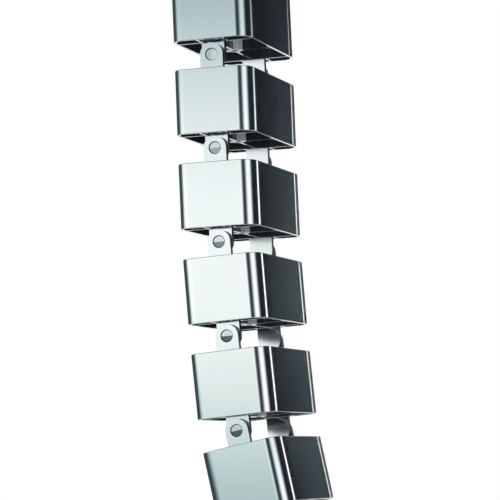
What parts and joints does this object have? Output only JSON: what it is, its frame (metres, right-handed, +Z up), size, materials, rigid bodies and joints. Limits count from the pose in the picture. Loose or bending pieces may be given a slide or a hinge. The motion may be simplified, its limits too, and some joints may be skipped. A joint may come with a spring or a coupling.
{
  "type": "cable spine",
  "caption": "Hanging cable spine: hinged rectangular box vertebrae of satin aluminium with inner dividers, joined by lapped lugs and pins, that lead cables from a desk to the floor.",
  "frame": {"origin": "middle of the top vertebra's upper pin axis, halfway between its front and rear lugs", "axes": "+Z up along the top vertebra, +X across its width to the right seen from the front, +Y through its depth to the rear and along every pin"},
  "size_m": [0.0667, 0.118, 0.3739],
  "materials": {
    "profile": "satin anodised",
    "link_bar": "satin anodised with milled edges",
    "pin": "turned",
    "screw": "plain"
  },
  "bodies": {
    "vertebra_1": {"vertebra_1_profile": "profile", "vertebra_1_front_link_bar": "link_bar", "vertebra_1_front_bar_screw": "screw", "vertebra_1_rear_link_bar": "link_bar", "vertebra_1_rear_bar_screw": "screw"},
    "vertebra_2": {"vertebra_2_profile": "profile", "vertebra_2_front_link_bar": "link_bar", "vertebra_2_front_bar_screw": "screw", "joint_1_front_pin": "pin", "vertebra_2_rear_link_bar": "link_bar", "vertebra_2_rear_bar_screw": "screw", "joint_1_rear_pin": "pin"},
    "vertebra_3": {"vertebra_3_profile": "profile", "vertebra_3_front_link_bar": "link_bar", "vertebra_3_front_bar_screw": "screw", "joint_2_front_pin": "pin", "vertebra_3_rear_link_bar": "link_bar", "vertebra_3_rear_bar_screw": "screw", "joint_2_rear_pin": "pin"},
    "vertebra_4": {"vertebra_4_profile": "profile", "vertebra_4_front_link_bar": "link_bar", "vertebra_4_front_bar_screw": "screw", "joint_3_front_pin": "pin", "vertebra_4_rear_link_bar": "link_bar", "vertebra_4_rear_bar_screw": "screw", "joint_3_rear_pin": "pin"},
    "vertebra_5": {"vertebra_5_profile": "profile", "vertebra_5_front_link_bar": "link_bar", "vertebra_5_front_bar_screw": "screw", "joint_4_front_pin": "pin", "vertebra_5_rear_link_bar": "link_bar", "vertebra_5_rear_bar_screw": "screw", "joint_4_rear_pin": "pin"},
    "vertebra_6": {"vertebra_6_profile": "profile", "vertebra_6_front_link_bar": "link_bar", "vertebra_6_front_bar_screw": "screw", "joint_5_front_pin": "pin", "vertebra_6_rear_link_bar": "link_bar", "vertebra_6_rear_bar_screw": "screw", "joint_5_rear_pin": "pin"}
  },
  "joints": [
    {"name": "joint_1", "type": "hinge", "parent": "vertebra_1", "child": "vertebra_2", "pos_m": [0, 0, -0.06], "axis": [0, -1, 0], "range_deg": [-36.59, 37.41]},
    {"name": "joint_2", "type": "hinge", "parent": "vertebra_2", "child": "vertebra_3", "pos_m": [-0.00043, 0, -0.12], "axis": [0, -1, 0], "range_deg": [-37.35, 36.65]},
    {"name": "joint_3", "type": "hinge", "parent": "vertebra_3", "child": "vertebra_4", "pos_m": [-0.00049, 0, -0.18], "axis": [0, -1, 0], "range_deg": [-39.42, 34.58]},
    {"name": "joint_4", "type": "hinge", "parent": "vertebra_4", "child": "vertebra_5", "pos_m": [0.00198, 0, -0.23995], "axis": [0, -1, 0], "range_deg": [-38.18, 35.82]},
    {"name": "joint_5", "type": "hinge", "parent": "vertebra_5", "child": "vertebra_6", "pos_m": [0.00568, 0, -0.29983], "axis": [0, -1, 0], "range_deg": [-43.66, 30.34]}
  ]
}
